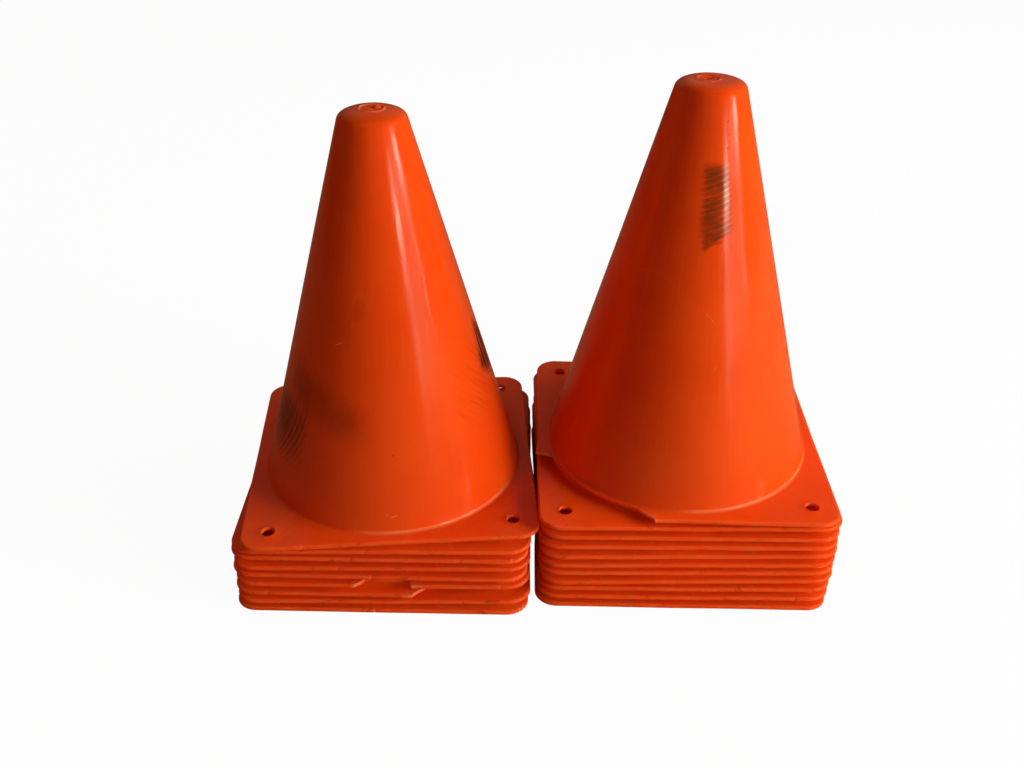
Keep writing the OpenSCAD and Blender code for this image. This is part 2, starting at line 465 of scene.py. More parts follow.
    def gate_height(self, x, y):
        """Height of the gate mark above the flat top."""
        x, y = x - self.gate[0], y - self.gate[1]
        r = hypot(x, y)
        coarse, fine = grain(x, y, 0.9, self.seed), grain(x, y, 2.6, self.seed + 9)
        ragged = 0.75 + 0.55 * grain(x, y, 0.5, self.seed + 4)
        ring = exp(-(((r - self.ring + 0.55) / 0.42) ** 2)) * 0.52 * ragged
        floor = -0.18 * clamp((self.ring - 1 - r) / 0.6) + 0.1 * (coarse + fine) * (r < self.ring - 0.7)
        if self.side == "left":
            away = hypot(x - 2, y - 1.6)
            stump = 1.6 * max(0, 1 - (away / 2.2) ** 2) * (0.85 + 0.5 * coarse)
            tail = 0.5 * max(0, 1 - (hypot((x + 1.2) / 2.2, (y + 1) / 1.1)) ** 2)
            return ring + floor + max(stump, 0) + tail
        pit = -0.65 * clamp((1.6 - r) / 0.7)
        inner = exp(-(((r - 2.9) / 0.4) ** 2)) * 0.26 * (0.8 + 0.6 * fine)
        return ring + floor + inner + pit


class ConeMesh:
    """Builds one cone as a closed mesh: the plate's two faces, the edge between them, and the cone."""

    def __init__(self, moulding, segments, side_steps, gate_rings, dents):
        self.m = m = moulding
        self.segments = segments
        self.dents = dents
        self.draw = random.Random(f"{m.side} {m.level}")
        self.outline, self.nick_depths = m.outline(self.draw_nicks())
        self.bends = self.draw_bends()
        self.spreads = OWN_SPREADS.get(m.node, SPREADS[m.side])
        self.foot = circle(m.fillet_r, segments, (m.aside, 0))
        self.mouth = circle(m.mouth_r, segments, (m.aside, 0))
        self.hole_centres = np.array([(x * m.hole_at, y * m.hole_at) for x in (-1, 1) for y in (-1, 1)])
        self.hole_centres[0] += OWN_HOLES.get(m.node, (0, 0))
        self.path, self.lip = self.break_loops()

        self.points, self.loop_edges = [], []
        self.verts, self.faces, self.edge_mark, self.torn_mark = [], [], [], []
        self.lay_out()
        above, below = self.cut_plate()
        self.find_rim(above)
        self.shape_rim()
        upper = self.add_face(above, m.thickness, True)
        lower = self.add_face(below, 0, False)
        self.add_edge(upper, lower)
        foot_ring = [upper[self.place_of[k]] for k in self.foot_ids]
        mouth_ring = [lower[self.place_of[k]] for k in self.mouth_ids]
        self.revolve(foot_ring, m.outer_profile(side_steps), m.height, gate_rings, True)
        self.revolve(mouth_ring, m.inner_profile(4), m.height - m.top_thickness, 1, False)

    def draw_nicks(self):
        """Small nicks round the plate's edge, with two more on the left stack's front right corners."""
        draw, m = self.draw, self.m
        nicks = [(draw.uniform(0, 4 * m.face_run), draw.uniform(0.08, 0.25), draw.uniform(0.25, 0.6))
                 for _ in range(3)]
        if m.side == "left":
            nicks += [(m.straight + draw.uniform(1, 14), draw.uniform(0.15, 0.35), draw.uniform(0.4, 0.8))
                      for _ in range(2)]
        return [n for n in nicks if all(abs(n[0] - o[0]) > n[2] + o[2] + 1 or n is o for o in nicks)]

    def draw_bends(self):
        """The corners' bends, drawn at random where the back ones don't show."""
        bends = list(BENDS[self.m.side][self.m.level])
        while len(bends) < 4:
            bends.append(self.draw.uniform(-0.5, 0.6))
        return [max(0, b) for b in bends] if self.m.level == 0 else bends

    def break_loops(self):
        """Outline of what is broken off, and of the lip that stays round the cone's foot."""
        m = self.m
        if m.node not in BREAK_SHARES:
            return None, None
        radius = m.fillet_r + BREAK_LIP
        lip = circle(radius, self.segments)
        swell = [1 + (0.25 + 0.25 * grain(*p, 0.3, m.seed)) / radius for p in lip]
        lip = lip * np.array(swell)[:, None] + (m.aside, 0)
        return torn_path(BREAK_SHARES[m.node], m.half, m.seed), lip

    def add_points(self, loop, closed=True):
        """Adds points to the plan, joined to a loop if closed, and returns their numbers."""
        numbers = range(len(self.points), len(self.points) + len(loop))
        self.points.extend(Vector(p) for p in loop.tolist())
        if closed:
            self.loop_edges.extend(zip(numbers, [*numbers[1:], numbers[0]]))
        return numbers

    def grid_spots(self):
        """Points that let the plate bend, clear of the loops in it."""
        m = self.m
        grid = np.arange(-m.half + OFF_EDGE, m.half - OFF_EDGE + 1, PLATE_GRID)
        spots = np.array([(x, y) for x in grid for y in grid])
        past_corner = np.maximum(np.abs(spots) - m.straight, 0)
        keep = np.hypot(*spots.T) > m.fillet_r + OFF_FOOT
        keep &= gap_to(spots, self.hole_centres) > m.hole_r + OFF_HOLE
        keep &= np.hypot(*past_corner.T) < m.corner_radius - OFF_CORNER
        if self.path is not None:
            keep &= gap_to(spots, self.path) > OFF_BREAK
        return spots[keep]

    def lay_out(self):
        """Puts the plate's loops, and the points that let it bend, into its plan."""
        m = self.m
        self.outline_ids = self.add_points(self.outline)
        self.foot_ids = self.add_points(self.foot)
        self.mouth_ids = self.add_points(self.mouth)
        self.holes = [circle(m.hole_r, HOLE_POINTS, centre) for centre in self.hole_centres]
        for hole, centre in zip(self.holes, self.hole_centres):
            self.add_points(hole)
            for wider in HOLE_RINGS:
                self.add_points(circle(m.hole_r + wider, 20, centre), closed=False)
        self.add_points(circle(m.fillet_r + 1.6, self.segments // 2, (m.aside, 0)), closed=False)
        if self.path is not None:
            self.add_points(self.path)
            self.add_points(self.lip)
        self.add_points(self.grid_spots(), closed=False)

    def cut_plate(self):
        """Cuts the plate's plan into triangles and returns those of its upper and its lower face."""
        spots, _, tris, origins, _, _ = delaunay_2d_cdt(self.points, self.loop_edges, [], 0, 1e-5, True)
        self.plan = np.array([(p.x, p.y) for p in spots])
        self.place_of = {source: out for out, sources in enumerate(origins) for source in sources}
        tris = np.array(tris)
        middle = self.plan[tris].mean(1)
        solid = inside(middle, self.outline)
        for hole in self.holes:
            solid &= ~inside(middle, hole)
        if self.path is not None:
            solid &= ~(inside(middle, self.path) & ~inside(middle, self.lip))
        a, b, c = (self.plan[tris[:, k]] for k in range(3))
        area = (b[:, 0] - a[:, 0]) * (c[:, 1] - a[:, 1]) - (b[:, 1] - a[:, 1]) * (c[:, 0] - a[:, 0])
        tris[area < 0] = tris[area < 0][:, ::-1]
        return tris[solid & ~inside(middle, self.foot)], tris[solid & ~inside(middle, self.mouth)]

    def find_rim(self, tris):
        """Finds the edges along the plate's outline, holes and breaks, which have one triangle only."""
        directed = {(int(t[i]), int(t[(i + 1) % 3])) for t in tris for i in range(3)}
        foot = {self.place_of[k] for k in self.foot_ids}
        self.rim = sorted(e for e in directed if (e[1], e[0]) not in directed and not foot.issuperset(e))

    def shape_rim(self):
        """Finds each rim point's outward direction, how its edge is rounded and how torn it is."""
        m, plan = self.m, self.plan
        outward = {v: np.zeros(2) for v in sorted({v for e in self.rim for v in e})}
        for p, q in self.rim:
            d = plan[q] - plan[p]
            normal = np.array([d[1], -d[0]]) / max(np.linalg.norm(d), 1e-9)
            outward[p] += normal
            outward[q] += normal
        spots = plan[list(outward)]
        from_break = from_lip = np.full(len(spots), np.inf)
        if self.path is not None:
            from_break = gap_to(spots, self.path)
            from_lip = np.abs(np.hypot(spots[:, 0] - m.aside, spots[:, 1]) - m.fillet_r - 0.6)
        on_lip = from_lip < 0.5
        in_break = (from_break < 0.7) | on_lip
        at_hole = gap_to(spots, self.hole_centres) < m.hole_r + 0.2
        worn_edge = tuple(m.edge_rounding * share for share in WORN_EDGE_SHARES)
        nicked = {self.place_of[k]: depth for k, depth in zip(self.outline_ids, self.nick_depths)}
        self.rim_shape = {}
        for k, v in enumerate(outward):
            length = np.linalg.norm(outward[v])
            direction = outward[v] / max(length, 1e-6) / max(length / 2, 0.7)
            rounding = TORN_EDGE if in_break[k] else HOLE_EDGE if at_hole[k] else worn_edge
            torn = 0.0 if on_lip[k] else 1.0 if in_break[k] else min(0.5, nicked.get(v, 0) / 0.6)
            self.rim_shape[v] = direction, rounding, torn

    def bend(self, x, y):
        """How far the plate is bent up at a place."""
        m = self.m
        free = clamp((hypot(x, y) - m.fillet_r) / 8)
        lift = m.blend(self.bends, x, y) + WARP * grain(x, y, 0.035, m.seed) * free
        return max(lift, 0) if m.level == 0 else lift

    def rim_bump(self, x, y):
        """Height of the raised rim round a hole."""
        near = min(hypot(x - h[0], y - h[1]) for h in self.hole_centres) - self.m.hole_r
        return RIM_HEIGHT * exp(-(((near - 0.45) / 0.4) ** 2)) if near < 2 else 0

    def vertex(self, x, y, z, edge=0.0, torn=0.0):
        self.verts.append((x, y, z))
        self.edge_mark.append(edge)
        self.torn_mark.append(torn)
        return len(self.verts) - 1

    def plate_vertex(self, x, y, z, edge, torn):
        """Adds a vertex of the plate, bent up and pulled out with it."""
        return self.vertex(x + self.m.blend(self.spreads, x, y), y, z + self.bend(x, y), edge, torn)

    def face(self, numbers, outer):
        self.faces.append(numbers if outer else numbers[::-1])

    def add_face(self, tris, z, upper):
        """Adds one face of the plate and returns where its vertices went."""
        index = {}
        for v in np.unique(tris).tolist():
            x, y = self.plan[v]
            edge = torn = 0.0
            if v in self.rim_shape:
                direction, (reach, _, low), torn = self.rim_shape[v]
                x, y = self.plan[v] - direction * (reach * 1.3 if upper else low * 2.2)
                edge, torn = FACE_WEAR, torn * FACE_TORN
            index[v] = self.plate_vertex(x, y, z + (self.rim_bump(x, y) if upper else 0), edge, torn)
        for t in tris.tolist():
            self.face([index[v] for v in t], upper)
        return index

    def add_edge(self, upper, lower):
        """Rounds the plate's edge over from its upper face to its lower one."""
        strips = {}
        for v, (direction, (reach, deep, low), torn) in self.rim_shape.items():
            strip = [upper[v]]
            for inset, drop in EDGE_STEPS:
                x, y = self.plan[v] - direction * reach * inset
                z = self.m.thickness - deep * drop + self.rim_bump(x, y) * (1 - drop)
                strip.append(self.plate_vertex(x, y, z, 1.0, torn))
            for inset, drop in EDGE_STEPS[::-1]:
                x, y = self.plan[v] - direction * low * inset
                strip.append(self.plate_vertex(x, y, low * drop, 1.0, torn))
            strips[v] = [*strip, lower[v]]
        for p, q in self.rim:
            for k in range(len(strips[p]) - 1):
                self.faces.append([strips[p][k + 1], strips[q][k + 1], strips[q][k], strips[p][k]])

    def dented(self, x, y, z):
        """Moves a place on the side in or out a little, least at the foot and the top."""
        m = self.m
        r = hypot(x, y)
        above, below = (z - m.thickness) / DENTS_ABOVE_FOOT, (m.height - z) / DENTS_BELOW_TOP
        share = min(1, max(0, above), max(0, below))
        push = noise.noise(Vector((x / r * 1.6, y / r * 1.6, z * 0.018 + m.seed)))
        swell = 1 + push * self.dents * share / r
        return x * swell, y * swell

    def revolve(self, ring, profile, cap_z, cap_rings, outer):
        """Turns a half section round the axis, from the ring where it starts, and closes it with a cap."""
        m, count = self.m, self.segments
        rings = [(r, z, False) for r, z in profile[1:]]
        for k in range(1, cap_rings + 1):
            r = profile[-1][0] * (1 - k / (cap_rings + 1))
            rings.append((r, cap_z - (m.dome_drop(r) if outer else 0), True))
        for r, z, in_cap in rings:
            made = []
            for x, y in circle(r, count).tolist():
                if self.dents and outer and not in_cap:
                    x, y = self.dented(x, y, z)
                up = m.gate_height(x, y) if outer and in_cap else 0
                made.append(self.vertex(x + m.aside, y, z + up))
            for k in range(count):
                n = (k + 1) % count
                self.face([ring[k], ring[n], made[n], made[k]], outer)
            ring = made
        tip = self.vertex(m.aside, 0, cap_z + (m.gate_height(0, 0) if outer else 0))
        for k in range(count):
            self.face([ring[k], ring[(k + 1) % count], tip], outer)

    def finish(self, name):
        """Sets the mesh where its cone stands, with what the material reads in its attributes."""
        m = self.m
        x, y, z = np.array(self.verts).T
        radius = np.maximum(np.hypot(x, y), 1e-3)
        flow = np.stack([x / radius, y / radius, z / m.height], 1)
        turn = radians(TURNS[m.side][m.level])
        turned = np.stack([x * cos(turn) - y * sin(turn),
                           x * sin(turn) + y * cos(turn), z], 1)
        placed = turned * MM + (m.axis_x, m.axis_y, m.base_z)
        mesh = bpy.data.meshes.new(name)
        mesh.from_pydata(placed.tolist(), [], self.faces)
        mesh.validate()
        tint = [self.draw.random()] * len(x)
        for kind, values in (("edge", self.edge_mark), ("torn", self.torn_mark), ("tint", tint)):
            mesh.attributes.new(kind, "FLOAT", "POINT").data.foreach_set("value", values)
        layer = mesh.attributes.new("flow", "FLOAT_VECTOR", "POINT")
        layer.data.foreach_set("vector", flow.astype(np.float32).ravel())
        mesh.polygons.foreach_set("use_smooth", [True] * len(mesh.polygons))
        mesh.set_sharp_from_angle(angle=SHARP_ANGLE)
        mesh.update()
        return mesh


# Materials


class Shader:
    """Adds nodes to a material or to the world and links them."""

    def __init__(self, owner):
        owner.use_nodes = True
        self.owner = owner
        self.tree = owner.node_tree
        self.tree.nodes.clear()

    def add(self, kind, values, **settings):
        made = self.tree.nodes.new(kind)
        for key, value in settings.items():
            setattr(made, key, value)
        for slot, value in values.items():
            target = made.inputs[slot]
            if isinstance(value, bpy.types.NodeSocket):
                self.tree.links.new(value, target)
            else:
                target.default_value = value
        return made

    def math(self, operation, a, b=0.0):
        return self.add("ShaderNodeMath", {0: a, 1: b}, operation=operation).outputs[0]

    def times(self, *factors):
        product = factors[0]
        for factor in factors[1:]:
            product = self.math("MULTIPLY", product, factor)
        return product

    def vector(self, operation, a, b=(0, 0, 0), output=0):
        return self.add("ShaderNodeVectorMath", {0: a, 1: b}, operation=operation).outputs[output]

    def ramp(self, value, low, high, to_low=0.0, to_high=1.0):
        """Goes smoothly from to_low at low to to_high at high."""
        return self.add("ShaderNodeMapRange", {
            "Value": value, "From Min": low, "From Max": high, "To Min": to_low, "To Max": to_high},
            interpolation_type="SMOOTHSTEP").outputs[0]

    def mix(self, factor, a, b):
        a, b = (c if isinstance(c, bpy.types.NodeSocket) else (*c, 1) for c in (a, b))
        return self.add("ShaderNodeMix", {0: factor, 6: a, 7: b}, data_type="RGBA").outputs[2]

    def attribute(self, name, output="Fac"):
        return self.add("ShaderNodeAttribute", {}, attribute_name=name).outputs[output]


class Plastic(Shader):
    """The cones' orange plastic: colour, gloss and bump, and the marks painted on them."""

    def __init__(self, name, look):
        super().__init__(bpy.data.materials.new(name))
        self.look = look
        self.place = self.add("ShaderNodeTexCoord", {}).outputs["Object"]
        self.flow = self.attribute("flow", "Vector")
        self.edge, self.torn, self.tint = (self.attribute(name) for name in ("edge", "torn", "tint"))
        self.seed = self.times(self.tint, 40)
        self.colour = tuple(look.colour)
        self.rough = look.roughness
        self.shine = look.shine
        self.height = 0.0
        self.body_colour()
        self.wear()

    def paint(self, colour, *masks, rough=None, dull=0.0):
        """Paints a colour where all the masks are 1, rougher and duller than the plastic if asked."""
        mask = self.times(*masks)
        self.colour = self.mix(mask, self.colour, colour)
        if dull:
            self.shine = self.times(self.shine, self.ramp(mask, 0, 1, 1, 1 - dull))
        if rough is not None:
            spare = self.math("SUBTRACT", rough, self.rough)
            self.rough = self.math("ADD", self.rough, self.times(spare, mask))

    def noise(self, scale, detail, roughness=0.5, seed=None, at=None):
        """Noise over the cone or other coordinates. Each cone has its own, unless a seed is given."""
        return self.add("ShaderNodeTexNoise", {
            "Vector": at or self.place, "Scale": scale, "Detail": detail, "Roughness": roughness,
            "W": self.seed if seed is None else seed}, noise_dimensions="4D").outputs[0]

    def near(self, value, middle, full, none):
        """1 where a value is closer to the middle than full, and 0 where it is further off than none."""
        return self.ramp(self.math("ABSOLUTE", self.math("SUBTRACT", value, middle)), full, none, 1, 0)

    def raise_by(self, *factors):
        self.height = self.math("ADD", self.height, self.times(*factors))

    def body_colour(self):
        """Mottling, flow lines that run out from the gate, and a tint for each cone."""
        look = self.look
        cloud = self.noise(22, 3, 0.55)
        self.paint(look.deep, self.ramp(cloud, 0.35, 0.75, 0, 0.5))
        lines = self.noise(26, 3, 0.6, at=self.vector("MULTIPLY", self.flow, (1, 1, 0.22)))
        self.paint(look.flow, self.ramp(lines, 0.5, 0.75, 0, 0.22))
        self.paint(look.deep, self.tint, 0.18)
        gloss = self.noise(60, 4, 0.6)
        rough = self.ramp(gloss, 0.3, 0.75, look.roughness - 0.02, look.roughness + 0.05)
        hair = self.noise(190, 2, 0.6, at=self.vector("MULTIPLY", self.flow, (1, 1, 0.03)))
        self.rough = self.math("ADD", rough, self.ramp(hair, 0.45, 0.75, 0, 0.05))
        self.raise_by(hair, 0.3)
        self.raise_by(lines, 0.35)
        self.raise_by(self.noise(900, 2), 0.1)
        self.raise_by(self.noise(160, 3), 0.3)

    def wear(self):
        """Scratches, specks, whitened breaks and grime along the edges."""
        look = self.look
        swirl = self.noise(9, 1)
        patch = self.ramp(self.noise(24, 2), 0.56, 0.68)
        for scale, seed in ((16, 3.7), (23, 8.1)):
            bent = self.vector("MULTIPLY", self.place, (1, 1, 0.55))
            line = self.noise(scale, 1, 0.4, self.math("ADD", self.seed, seed), bent)
            thin = self.near(line, 0.5, 0.0006, 0.0022)
            self.paint(look.whitened, thin, patch, 0.08, rough=0.5)
        dirt = self.add("ShaderNodeTexVoronoi", {"Vector": self.place, "Scale": 210.0}, feature="F1")
        pick = self.ramp(self.noise(90, 2), 0.66, 0.72)
        speck = self.ramp(dirt.outputs["Distance"], 0.06, 0.16, 1, 0)
        self.paint(look.grime, speck, pick, 0.5)
        worn = self.noise(60, 3, 0.6)
        self.paint(look.rubbed, self.edge, self.ramp(worn, 0.3, 0.7, 0.1, 0.4), rough=0.4)
        grime = self.noise(70, 4, 0.65, swirl, self.vector("MULTIPLY", self.place, (1, 1, 2.5)))
        self.paint(look.grime, self.edge, self.ramp(grime, 0.56, 0.72, 0, 0.65))
        frayed = self.ramp(self.noise(700, 3, 0.6, 0.0), 0.25, 0.7, 0.35, 0.75)
        self.paint(look.whitened, self.torn, frayed, rough=0.6)

    def finish(self):
        """Wires colour, gloss and bump into the plastic's own shader."""
        bump = self.add("ShaderNodeBump", {
            "Height": self.height, "Strength": BUMP_STRENGTH, "Distance": BUMP_HEIGHT})
        shell = self.add("ShaderNodeBsdfPrincipled", {
            "Base Color": self.colour, "Roughness": self.rough, "IOR": PLASTIC_IOR,
            "Specular IOR Level": self.shine, "Normal": bump.outputs[0],
            "Subsurface Weight": self.look.glow, "Subsurface Radius": SPREAD_SHARES,
            "Subsurface Scale": SPREAD_DEPTH})
        self.add("ShaderNodeOutputMaterial", {"Surface": shell.outputs[0]})
        return self.owner


class MarkedPlastic(Plastic):
    """The plastic of one cone that has marks of its own. A mark's place on the side is in degrees to the
    right of the front, and in millimetres above the plate's underside."""

    def __init__(self, name, look, moulding):
        super().__init__(name, look)
        self.m = m = moulding
        local = self.vector("SUBTRACT", self.place, (m.axis_x, m.axis_y, m.base_z))
        parts = self.add("ShaderNodeSeparateXYZ", {0: local}).outputs
        turned = self.math("ARCTAN2", parts["X"], self.times(parts["Y"], -1))
        self.round = self.times(turned, 180 / pi)
        self.up = self.math("DIVIDE", parts["Z"], MM)
        self.shake = self.math("SUBTRACT", self.noise(260, 4, 0.65, 3.3), 0.5)

    def shear(self, value, other, share, bend=0.0, origin=0.0):
        """A coordinate that slants with another one, and curves with it if bend is given."""
        away = self.math("SUBTRACT", other, origin)
        slanted = self.math("ADD", value, self.times(away, share))
        if not bend:
            return slanted
        return self.math("ADD", slanted, self.times(away, away, bend))

    def patch(self, left, right, low, high, soft=(3, 3), ragged=6.0, across=None, up=None):
        """A patch of the side with soft, ragged edges, from left to right and from low to high."""
        shake = self.times(self.shake, ragged)
        sides = ((across or self.round, left, right, soft[0]), (up or self.up, low, high, soft[1]))
        masks = []
        for value, start, stop, fade in sides:
            value = self.math("ADD", value, shake)
            masks += [self.ramp(value, start, start + fade), self.ramp(value, stop - fade, stop, 1, 0)]
        return self.times(*masks)

    def combed(self, value, pitch, thin, wobble, scale):
        """Fine lines where a coordinate passes each pitch."""
        drift = self.math("SUBTRACT", self.noise(scale, 3, 0.6, 9.1), 0.5)
        value = self.math("ADD", value, self.times(drift, wobble * pitch))
        return self.ramp(self.math("SINE", self.times(value, 2 * pi / pitch)), *thin)

    def strokes(self, value, along, pitch, stretch, low, high, seed=0.0):
        """Uneven strokes that run along one coordinate, about a pitch apart in the other."""
        x, y = self.math("DIVIDE", value, pitch), self.math("DIVIDE", along, pitch * stretch)
        spot = self.add("ShaderNodeCombineXYZ", {"X": x, "Y": y}).outputs[0]
        return self.ramp(self.noise(1, 3, 0.6, seed, spot), low, high)

    def scratches(self, rows, strength, colour, rough=None, seed=17.0):
        """Fine scratches on the side. A row is azimuth, height, half width, half height and tilt, and its
        azimuth is -90 at the front."""
        for azimuth, height, half_width, half_height, tilt in rows:
            local = self.stamp(azimuth, height, (half_width * MM, half_height * MM, 3 * MM), tilt)
            away = self.vector("LENGTH", local, output=1)
            ragged = self.math("SUBTRACT", self.noise(2, 3, 0.6, seed, local), 0.5)
            away = self.math("ADD", away, self.times(ragged, 0.4))
            self.paint(colour, self.ramp(away, 0.3, 1.0, 1, 0), strength, rough=rough)

    def stamp(self, azimuth, height, scale, tilt):
        """Coordinates about a place on the side, across, up and out of it."""
        m = self.m
        turn, r = radians(azimuth), m.side_r(height)
        middle = Vector((m.axis_x + r * MM * cos(turn), m.axis_y + r * MM * sin(turn),
                         m.base_z + height * MM))
        across = Vector((-sin(turn), cos(turn), 0))
        level = cos(m.lean)
        outward = Vector((cos(turn) * level, sin(turn) * level, sin(m.lean)))
        basis = Matrix((across, outward.cross(across), outward)).transposed()
        basis = basis @ Matrix.Rotation(radians(tilt), 3, "Z")
        return self.add("ShaderNodeMapping", {
            "Vector": self.place, "Location": middle, "Rotation": basis.to_euler(), "Scale": scale},
            vector_type="TEXTURE").outputs[0]

    def out_from(self, aside=0, behind=0):
        """Distance in millimetres from the cone's axis, or from a line beside it."""
        m = self.m
        middle = (m.axis_x + (m.aside + aside) * MM, m.axis_y + behind * MM, 0)
        flat = self.vector("MULTIPLY", self.vector("SUBTRACT", self.place, middle), (1, 1, 0))
        return self.math("DIVIDE", self.vector("LENGTH", flat, output=1), MM)

    def gate(self, strength):
        """The rough, paler ring round the gate on the flat top."""
        m = self.m
        ring = self.near(self.out_from(*m.gate), m.ring - 0.5, 0.25, 0.75)
        on_top = self.ramp(self.up, m.height - 0.6, m.height - 0.3)
        rough = self.ramp(self.noise(420, 3, 0.6, 5.0), 0.35, 0.6, 0.25, 1)
        self.paint(self.look.whitened, ring, on_top, rough, strength, rough=0.5)

    def foot_highlight(self, strength):
        """A painted highlight: a pale line along the fillet round the cone's foot, from the front to the
        right.
        """
        m = self.m
        on_foot = self.ramp(self.out_from(), m.fillet_r, m.fillet_r + 0.5, 1, 0)
        # This noise only breaks up the painted highlight along the foot
        rubbed = self.ramp(self.noise(80, 3, 0.6, 8.0), 0.35, 0.6, 0.5, 1)
        # The painted highlight shows from the front to the right, on the side that faces the lamps
        facing = self.times(self.ramp(self.round, -14, 4), self.ramp(self.round, 58, 85, 1, 0))
        ring = self.times(self.near(self.up, m.fillet_z - 0.5, 0.3, 0.9), on_foot)
        self.paint(self.look.whitened, ring, facing, rubbed, strength)


def plain_plastic(look, moulding):
    """The plastic of every cone without marks of its own, made once."""
    name = "moulded_orange"
    return bpy.data.materials.get(name) or Plastic(name, look).finish()


def smudge(p, cloud):
    """A soft smudge across the lower front, and a faint haze higher up."""
    slanted = p.shear(p.up, p.round, 0.27, origin=-20)
    broad = p.patch(-70, 4, 40, 70, (20, 13), 8, up=slanted)
    p.paint(p.look.grime, broad, cloud, p.ramp(p.round, -30, 0, 0.75, 0.42), dull=0.6)
    haze = p.patch(-16, -1, 97, 111, (6, 6), 8)
    p.paint(p.look.grime, haze, 0.16)


def brown_scuff(p, cloud):
    """A brown scuff low on the left, with fine curved lines."""
    look = p.look
    curved = p.shear(p.round, p.up, 0, bend=0.012, origin=57)
    broad = p.patch(-84, -35, 17, 60, (13, 14), 14, across=p.shear(p.round, p.up, -0.2, origin=42))
    p.paint(look.grime, broad, cloud, 0.6, dull=0.5)
    core = p.patch(-88, -47, 23, 60, (14, 15), 14)
    p.paint(look.scuff, core, cloud, 0.45, dull=0.9)
    combed = p.combed(curved, 3.5, (-0.1, 0.8), 0.5, 70)
    lines = p.times(combed, p.strokes(curved, p.up, 2.6, 9, 0.3, 0.6, 4.0))
    p.paint(look.scuff, broad, lines, 0.6, dull=0.6)
    fine = p.strokes(curved, p.up, 1.2, 22, 0.42, 0.62, 7.0)
    p.paint(look.scuff, core, fine, 0.6, dull=0.9)


def black_scuff(p):
    """A black, streaky scuff on the right, and fine scrapes in front of it."""
    look = p.look
    black = p.patch(74, 114, 52, 87, (9, 9), 8, across=p.shear(p.round, p.up, -0.35, origin=70),
                    up=p.shear(p.up, p.round, 0.5, origin=84))
    black = p.times(black, p.ramp(p.round, 96, 116, 1, 0))
    p.paint(look.scuff, black, 0.62, rough=0.6, dull=0.8)
    streaks = p.strokes(p.round, p.up, 2.4, 14, 0.4, 0.58, 2.0)
    p.paint(look.streak, black, streaks, 0.95, rough=0.7, dull=0.95)
    rub = p.patch(42, 84, 40, 78, (10, 10), 9)
    fan = p.shear(p.up, p.round, 0.85, origin=60)
    scrape = p.strokes(fan, p.round, 1.3, 22, 0.5, 0.66, 5.0)
    p.paint(look.grime, rub, scrape, 0.38)


def left_top_plastic(look, moulding):
    """The left top cone, with a smudge, a brown scuff and a black one."""
    p = MarkedPlastic("moulded_orange_left_top", look, moulding)
    cloud = p.ramp(p.noise(55, 4, 0.6, 2.0), 0.3, 0.65, 0.5, 1)
    smudge(p, cloud)
    brown_scuff(p, cloud)
    black_scuff(p)
    rows = ((-83, 10, 2.6, 0.4, 12), (-86, 10.9, 1.5, 0.32, -40), (-112, 88, 4.2, 0.3, 25))
    p.scratches(rows, 0.6, look.whitened, 0.5)
    # Painted highlight along the foot's fillet
    p.foot_highlight(0.6)
    p.gate(0.9)
    return p.finish()


def comb_scuff(p):
    """A dark scuff high on the front, made of level lines like a comb's, with pale slivers between them
    that are partly painted glints.
    """
    look = p.look
    leaning = p.shear(p.round, p.up, 0.13, origin=120)
    falling = p.shear(p.up, p.round, -0.33, origin=-4)
    comb = p.patch(-9, 26, 117, 163, (9, 3), 7, across=leaning, up=falling)
    comb = p.times(comb, p.ramp(p.up, 151, 156, 1, 0), p.ramp(p.round, 20, 26, 1, 0))
    line = p.shear(p.up, p.round, -0.13, bend=-0.0022)
    cloud = p.ramp(p.noise(110, 3, 0.6, 6.0), 0.3, 0.6, 0.3, 1)
    p.paint(look.grime, comb, cloud, p.ramp(p.round, 9, 20, 1, 0.3), 0.85)
    lines = p.combed(line, 2.45, (-0.6, 0.5), 0.5, 90)
    broken = p.strokes(line, p.round, 2.6, 6, 0.3, 0.58, 1.0)
    p.paint(look.scuff, comb, lines, broken, p.ramp(p.round, 10, 24, 1, 0.7), 0.52)
    thin = p.strokes(line, p.round, 0.8, 30, 0.45, 0.6, 3.0)
    p.paint(look.scuff, comb, thin, 0.4)
    # Pale whitened slivers between the lines, in part painted glints on the ridges, stronger to the right
    whitened_glints = p.combed(p.math("SUBTRACT", line, 1.2), 2.45, (0.75, 1.0), 0.5, 90)
    p.paint(look.whitened, comb, whitened_glints, p.ramp(p.round, 6, 16), 0.4)


def right_top_plastic(look, moulding):
    """The right top cone, with a comb-like scuff, thin light scratches and three dark ticks."""
    p = MarkedPlastic("moulded_orange_right_top", look, moulding)
    comb_scuff(p)
    rows = ((-85, 90, 4.5, 0.28, -52), (-88, 92, 2.5, 0.25, -50), (-82, 68, 2.6, 0.25, 55))
    p.scratches(rows, 0.45, look.whitened, 0.5)
    ticks = ((-73.3, 170.8), (-72.1, 165.7), (-74, 160.5))
    p.scratches([(*tick, 0.9, 0.3, 30) for tick in ticks], 0.8, look.scuff, seed=19.0)
    # Painted highlight along the foot's fillet
    p.foot_highlight(0.6)
    p.gate(0.35)
    return p.finish()


# Building


def add_cone(context, node, plastic=plain_plastic, cut=NESTED_CUT):
    """Puts one detailed cone in the scene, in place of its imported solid."""
    scene = context.scene
    moulding = Moulding(node, scene.cone_sizes)
    material = plastic(scene.plastic_look, moulding)
    name = f"{node}_moulding"
    mesh = ConeMesh(moulding, **cut).finish(name)
    mesh.materials.append(material)
    piece = bpy.data.objects.new(name, mesh)
    scene.collection.objects.link(piece)
    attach(piece, node)
    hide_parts(node)


